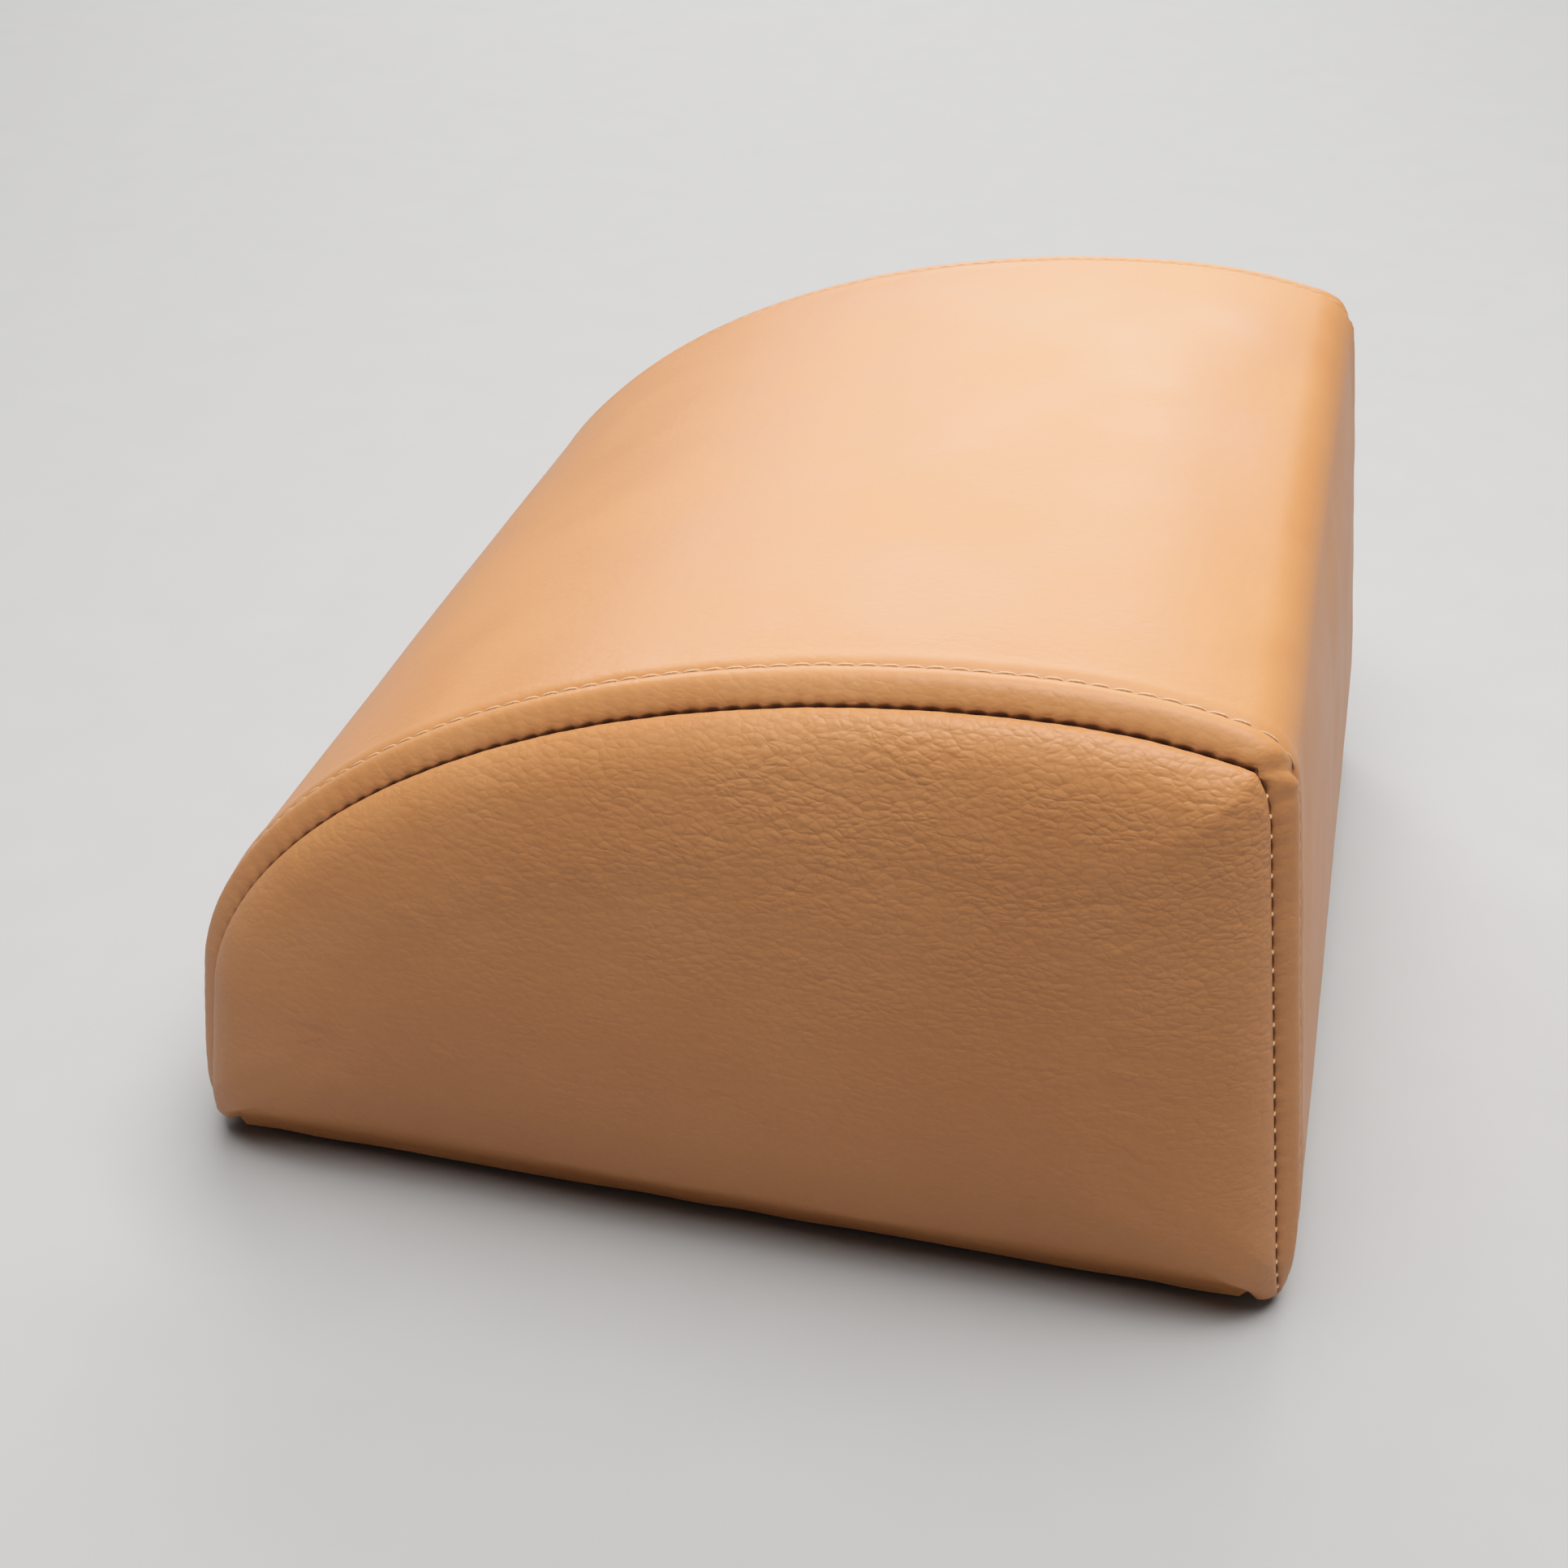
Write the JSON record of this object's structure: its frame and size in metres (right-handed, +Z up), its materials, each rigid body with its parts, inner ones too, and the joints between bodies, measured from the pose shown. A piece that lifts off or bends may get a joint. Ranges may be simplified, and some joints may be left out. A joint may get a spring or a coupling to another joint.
{
  "type": "face cradle cushion",
  "caption": "Wedge-shaped leatherette cushion on a flat board, with a low rounded nose, a long slope up to a level crown and flat sewn ends, for resting a face or head on.",
  "frame": {"origin": "on the surface the cushion rests on, under the middle of its bounding box", "axes": "+Z up; +X from the low nose towards the tall side; +Y from the front end panel towards the rear one"},
  "size_m": [0.243, 0.2642, 0.1419],
  "materials": {
    "leatherette": "camel pebble-grain leatherette, satin",
    "thread": "pale tan polyester thread",
    "comfort_foam": "soft cream foam",
    "core_foam": "firm grey foam",
    "fibre": "white fibre wadding",
    "plywood": "sanded plywood",
    "cambric": "black non-woven cloth",
    "loop_pile": "black loop pile",
    "staple_wire": "galvanised wire"
  },
  "bodies": {
    "root": {"base_board": "plywood", "comfort_foam": "comfort_foam", "cover_staple_01": "staple_wire", "cover_staple_02": "staple_wire", "cover_staple_03": "staple_wire", "cover_staple_04": "staple_wire", "cover_staple_05": "staple_wire", "cover_staple_06": "staple_wire", "cover_staple_07": "staple_wire", "cover_staple_08": "staple_wire", "cover_staple_09": "staple_wire", "cover_staple_10": "staple_wire", "cover_staple_11": "staple_wire", "cover_staple_12": "staple_wire", "cover_staple_13": "staple_wire", "cover_staple_14": "staple_wire", "cover_staple_15": "staple_wire", "cover_staple_16": "staple_wire", "cover_staple_17": "staple_wire", "cover_staple_18": "staple_wire", "cover_wrap": "leatherette", "dust_cover": "cambric", "dust_staple_01": "staple_wire", "dust_staple_02": "staple_wire", "dust_staple_03": "staple_wire", "dust_staple_04": "staple_wire", "dust_staple_05": "staple_wire", "dust_staple_06": "staple_wire", "dust_staple_07": "staple_wire", "dust_staple_08": "staple_wire", "dust_staple_09": "staple_wire", "dust_staple_10": "staple_wire", "dust_staple_11": "staple_wire", "dust_staple_12": "staple_wire", "dust_staple_13": "staple_wire", "dust_staple_14": "staple_wire", "dust_staple_15": "staple_wire", "dust_staple_16": "staple_wire", "foam_core": "core_foam", "front_end_pad": "fibre", "front_panel": "leatherette", "front_seam_thread": "thread", "front_topstitch": "thread", "loop_strip_nose_side": "loop_pile", "loop_strip_tall_side": "loop_pile", "rear_end_pad": "fibre", "rear_panel": "leatherette", "rear_seam_thread": "thread", "rear_topstitch": "thread", "wadding_wrap": "fibre"}
  },
  "joints": []
}
